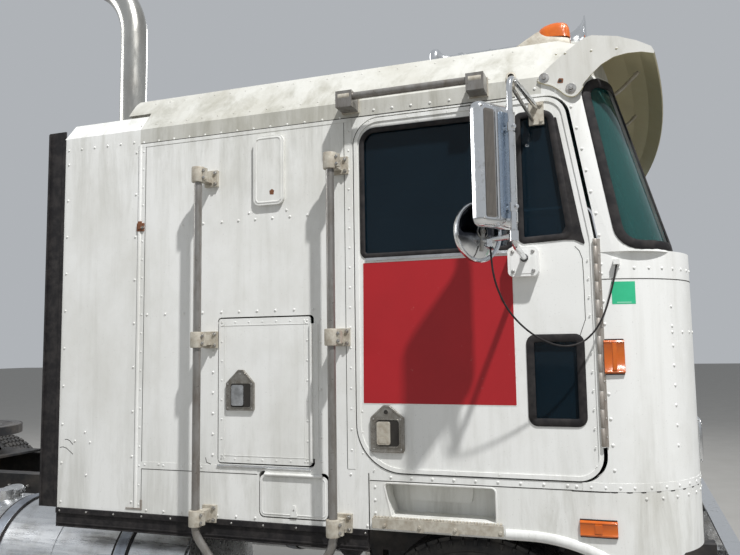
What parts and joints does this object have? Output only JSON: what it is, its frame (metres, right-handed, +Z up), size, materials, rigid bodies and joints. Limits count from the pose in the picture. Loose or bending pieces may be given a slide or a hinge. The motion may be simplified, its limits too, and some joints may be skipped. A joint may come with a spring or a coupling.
{
  "type": "cab-over semi truck tractor unit",
  "caption": "Cab-over sleeper road tractor with tilting cab, tandem drive axles, fifth wheel, riveted sleeper sides, roof visor and a rearward-bent exhaust stack.",
  "frame": {"origin": "on the ground, under the middle of the whole length and width", "axes": "+X points forward, +Y to the driver's left, +Z up"},
  "size_m": [6.57, 3.1382, 3.7511],
  "materials": {
    "white_paint": "weathered off-white enamel over riveted sheet",
    "frame_paint": "black chassis enamel with road dirt",
    "engine_paint": "grey engine enamel",
    "bright_metal": "chrome plate with light wear",
    "steel": "machined steel",
    "aluminium": "bright aluminium",
    "tyre": "road-worn tread rubber",
    "rubber": "matt black rubber",
    "glass": "tinted safety glass",
    "trim": "grained vinyl and plastic",
    "cloth": "woven seat cloth",
    "lens": "amber lens",
    "red_lens": "red lens",
    "cable": "black cable jacket"
  },
  "bodies": {
    "chassis": {"frame_rails": "frame_paint", "front_bumper": "bright_metal", "front_axle": "frame_paint", "rear_axles": "frame_paint", "suspension": "frame_paint", "fifth_wheel_base": "frame_paint", "fuel_tanks": "aluminium", "exhaust_stack": "bright_metal", "engine_block": "engine_paint", "driveline": "frame_paint", "radiator": "frame_paint", "mud_flaps": "rubber", "tail_lamps": "red_lens", "deck_plate": "aluminium"},
    "cab": {"cab_sides": "white_paint", "cab_roof": "white_paint", "cab_back": "white_paint", "cab_floor": "trim", "cab_front": "white_paint", "windscreens": "glass", "fenders": "white_paint", "step_plates": "aluminium", "rubber_skirts": "rubber", "sun_visor": "white_paint", "grille": "bright_metal", "lamps": "lens", "air_horn": "bright_metal", "grab_bars": "aluminium", "seats": "cloth", "dashboard": "trim", "mirror_cable": "cable"},
    "door_right": {"door_right": "white_paint", "door_glass_right": "glass", "mirror_right": "bright_metal"},
    "luggage_right": {"luggage_door_right": "white_paint"},
    "steer_right": {"knuckle_right": "frame_paint"},
    "front_wheel_right": {"front_rim_right": "aluminium", "front_tyre_right": "tyre"},
    "drive_front_wheel_right": {"drive_front_rim_right": "white_paint", "drive_front_tyre_right": "tyre"},
    "drive_rear_wheel_right": {"drive_rear_rim_right": "white_paint", "drive_rear_tyre_right": "tyre"},
    "door_left": {"door_left": "white_paint", "door_glass_left": "glass", "mirror_left": "bright_metal"},
    "luggage_left": {"luggage_door_left": "white_paint"},
    "steer_left": {"knuckle_left": "frame_paint"},
    "front_wheel_left": {"front_rim_left": "aluminium", "front_tyre_left": "tyre"},
    "drive_front_wheel_left": {"drive_front_rim_left": "white_paint", "drive_front_tyre_left": "tyre"},
    "drive_rear_wheel_left": {"drive_rear_rim_left": "white_paint", "drive_rear_tyre_left": "tyre"},
    "flap": {"side_flap": "white_paint"},
    "tie": {"tie_rod": "steel"},
    "fifth_wheel": {"fifth_wheel_plate": "frame_paint"},
    "hand_wheel": {"steering_wheel": "trim"},
    "cylinder": {"tilt_cylinder": "frame_paint"},
    "ram": {"tilt_rod": "steel"}
  },
  "joints": [
    {"name": "cab_tilt", "type": "hinge", "parent": "chassis", "child": "cab", "pos_m": [3.06, 0, 0.905], "axis": [0, 1, 0], "range_deg": [0, 60]},
    {"name": "cylinder_swing", "type": "hinge", "parent": "chassis", "child": "cylinder", "pos_m": [2.42, -0.5, 0.64], "axis": [0, 1, 0], "range_deg": [0, 7]},
    {"name": "ram_extend", "type": "slide", "parent": "cylinder", "child": "ram", "axis": [0.5735, 0, 0.8192], "range_m": [0, 0.38]},
    {"name": "steer_right", "type": "hinge", "parent": "chassis", "child": "steer_right", "pos_m": [2.29, -0.825, 0.49], "axis": [0, 0, 1], "range_deg": [-35, 35]},
    {"name": "steer_left", "type": "hinge", "parent": "chassis", "child": "steer_left", "pos_m": [2.29, 0.825, 0.49], "axis": [0, 0, 1], "range_deg": [-35, 35]},
    {"name": "tie_rod_end", "type": "hinge", "parent": "steer_left", "child": "tie", "pos_m": [2.11, 0.825, 0.375], "axis": [0, 0, 1], "range_deg": [-35, 35]},
    {"name": "steering_wheel_turn", "type": "hinge", "parent": "cab", "child": "hand_wheel", "pos_m": [2.56, 0.54, 1.88], "axis": [-0.5, 0, 0.866], "range_deg": [-630, 630]},
    {"name": "fifth_wheel_rock", "type": "hinge", "parent": "chassis", "child": "fifth_wheel", "pos_m": [-1.7, 0, 1.09], "axis": [0, 1, 0], "range_deg": [-12, 12]},
    {"name": "flap_open", "type": "hinge", "parent": "cab", "child": "flap", "pos_m": [0, -1.186, 1.18], "axis": [-1, 0, 0], "range_deg": [0, 90]},
    {"name": "door_right", "type": "hinge", "parent": "cab", "child": "door_right", "pos_m": [2.772, -1.186, 0], "axis": [0, 0, 1], "range_deg": [0, 70], "deforming": ["mirror_cable"]},
    {"name": "luggage_right", "type": "hinge", "parent": "cab", "child": "luggage_right", "pos_m": [1.631, -1.186, 0], "axis": [0, 0, 1], "range_deg": [0, 95]},
    {"name": "front_wheel_spin_right", "type": "hinge", "parent": "steer_right", "child": "front_wheel_right", "pos_m": [2.29, -1.015, 0.49], "axis": [0, 1, 0], "continuous": true},
    {"name": "drive_front_spin_right", "type": "hinge", "parent": "chassis", "child": "drive_front_wheel_right", "pos_m": [-1.095, -0.907, 0.49], "axis": [0, 1, 0], "continuous": true},
    {"name": "drive_rear_spin_right", "type": "hinge", "parent": "chassis", "child": "drive_rear_wheel_right", "pos_m": [-2.415, -0.907, 0.49], "axis": [0, 1, 0], "continuous": true},
    {"name": "door_left", "type": "hinge", "parent": "cab", "child": "door_left", "pos_m": [2.772, 1.186, 0], "axis": [0, 0, -1], "range_deg": [0, 70]},
    {"name": "luggage_left", "type": "hinge", "parent": "cab", "child": "luggage_left", "pos_m": [1.631, 1.186, 0], "axis": [0, 0, -1], "range_deg": [0, 95]},
    {"name": "front_wheel_spin_left", "type": "hinge", "parent": "steer_left", "child": "front_wheel_left", "pos_m": [2.29, 1.015, 0.49], "axis": [0, 1, 0], "continuous": true},
    {"name": "drive_front_spin_left", "type": "hinge", "parent": "chassis", "child": "drive_front_wheel_left", "pos_m": [-1.095, 0.907, 0.49], "axis": [0, 1, 0], "continuous": true},
    {"name": "drive_rear_spin_left", "type": "hinge", "parent": "chassis", "child": "drive_rear_wheel_left", "pos_m": [-2.415, 0.907, 0.49], "axis": [0, 1, 0], "continuous": true}
  ],
  "couplings": [
    {"joint": "steer_right", "follows": "steer_left", "ratio": 1},
    {"joint": "tie_rod_end", "follows": "steer_left", "ratio": -1},
    {"joint": "steering_wheel_turn", "follows": "steer_left", "ratio": 18},
    {"joint": "cylinder_swing", "follows": "cab_tilt", "ratio": 0.115},
    {"joint": "ram_extend", "follows": "cab_tilt", "m_per_rad": 0.36}
  ]
}
